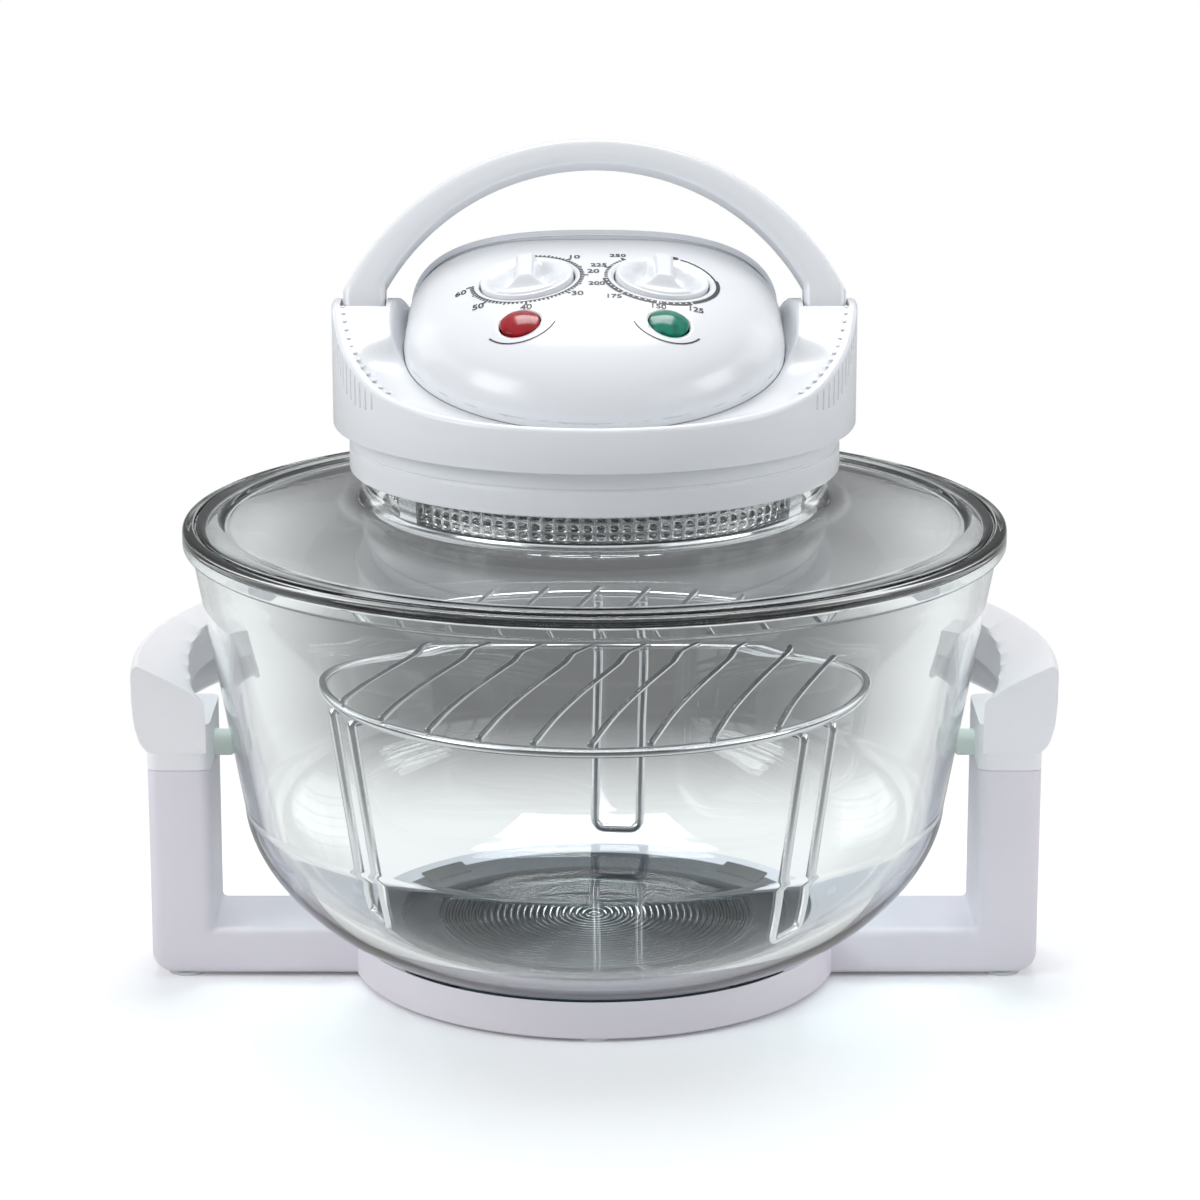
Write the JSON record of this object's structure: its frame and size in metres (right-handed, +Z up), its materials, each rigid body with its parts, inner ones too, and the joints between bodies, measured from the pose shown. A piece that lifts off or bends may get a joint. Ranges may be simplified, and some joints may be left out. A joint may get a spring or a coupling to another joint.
{
  "type": "halogen oven",
  "caption": "Countertop halogen oven: round glass bowl in a plastic stand under a lift-off glass lid that carries a domed heater head with dials and a folding handle.",
  "frame": {"origin": "centre of the stand's footprint on the table, under its rubber feet", "axes": "+Z up; -Y is the front, which the dials and lenses face; +X to the right seen from the front, along the line of the two grips"},
  "size_m": [0.381, 0.336, 0.3435],
  "materials": {
    "white_plastic": "glossy moulded plastic",
    "pale_plastic": "moulded plastic with a soft sheen",
    "knob_plastic": "glossy moulded plastic",
    "dark_plastic": "satin heat-resistant plastic",
    "clear_glass": "clear tempered glass",
    "quartz": "frosted quartz tube",
    "chrome_wire": "bright chrome plate",
    "bright_steel": "stamped bright steel",
    "reflector": "pressed aluminium",
    "fastener_steel": "zinc-plated steel",
    "dark_enamel": "dark heat-proof enamel",
    "silicone": "soft silicone",
    "black_rubber": "matte rubber",
    "peg_silicone": "soft pale silicone",
    "ceramic": "unglazed ceramic",
    "glass_wool": "felted mineral fibre",
    "red_lens": "tinted clear plastic",
    "green_lens": "tinted clear plastic",
    "neon": "small glass lamp",
    "copper_tube": "drawn copper",
    "red_button": "moulded plastic",
    "wire_sleeve": "silicone sleeving"
  },
  "bodies": {
    "stand": {"base_ring": "pale_plastic", "left_arm": "pale_plastic", "right_arm": "pale_plastic", "left_grip": "white_plastic", "right_grip": "white_plastic", "bumper_pegs": "peg_silicone", "bowl_pads": "silicone", "rubber_feet": "black_rubber", "heat_plate": "dark_enamel", "stand_screws": "fastener_steel"},
    "bowl": {"glass_bowl": "clear_glass"},
    "rack": {"rack_ring": "chrome_wire", "rack_bars": "chrome_wire", "rack_legs": "chrome_wire"},
    "head": {"glass_lid": "clear_glass", "neck_gasket": "silicone", "neck_ring": "white_plastic", "neck_clips": "bright_steel", "reflector_pan": "reflector", "guard": "bright_steel", "guard_rim": "chrome_wire", "guard_screws": "fastener_steel", "halogen_lamp": "quartz", "lamp_sockets": "ceramic", "lamp_clips": "bright_steel", "insulation_pad": "glass_wool", "heat_shield": "reflector", "motor_bracket": "bright_steel", "fan_motor": "dark_plastic", "motor_screws": "fastener_steel", "head_housing": "white_plastic", "head_screws": "fastener_steel", "control_panel": "white_plastic", "rear_cover": "white_plastic", "timer_unit": "dark_plastic", "thermostat_unit": "ceramic", "thermostat_probe": "copper_tube", "power_lens": "red_lens", "heat_lens": "green_lens", "indicator_lamps": "neon", "safety_switch": "dark_plastic", "terminal_block": "ceramic", "wiring": "wire_sleeve", "cord_gland": "black_rubber", "handle_pins": "fastener_steel"},
    "handle": {"carry_handle": "white_plastic"},
    "time_dial": {"time_knob": "knob_plastic", "time_shaft": "fastener_steel"},
    "temp_dial": {"temp_knob": "knob_plastic", "temp_shaft": "fastener_steel"},
    "fan": {"fan_shaft": "fastener_steel", "convection_fan": "reflector", "cooling_fan": "dark_plastic", "fan_nut": "fastener_steel"},
    "button": {"switch_button": "red_button"}
  },
  "joints": [
    {"name": "bowl_lift", "type": "slide", "parent": "stand", "child": "bowl", "axis": [0, 0, 1], "range_m": [0, 0.2]},
    {"name": "rack_lift", "type": "slide", "parent": "bowl", "child": "rack", "axis": [0, 0, 1], "range_m": [0, 0.055]},
    {"name": "head_lift", "type": "slide", "parent": "bowl", "child": "head", "axis": [0, 0, 1], "range_m": [0, 0.25]},
    {"name": "handle_fold", "type": "hinge", "parent": "head", "child": "handle", "pos_m": [0, 0, 0.266], "axis": [-1, 0, 0], "range_deg": [-22, 38]},
    {"name": "time_turn", "type": "hinge", "parent": "head", "child": "time_dial", "pos_m": [-0.027, -0.02882, 0.2953], "axis": [-0.1392, -0.2228, 0.9649], "range_deg": [-300, 0]},
    {"name": "temp_turn", "type": "hinge", "parent": "head", "child": "temp_dial", "pos_m": [0.027, -0.02882, 0.2953], "axis": [0.1392, -0.2228, 0.9649], "range_deg": [-300, 0]},
    {"name": "fan_spin", "type": "hinge", "parent": "head", "child": "fan", "pos_m": [0, 0, 0.2], "axis": [0, 0, 1], "continuous": true},
    {"name": "switch_press", "type": "slide", "parent": "head", "child": "button", "axis": [0, 0, -1], "range_m": [-0.0006, 0.0009]}
  ],
  "couplings": [
    {"joint": "switch_press", "follows": "handle_fold", "m_per_rad": 0.00104}
  ]
}
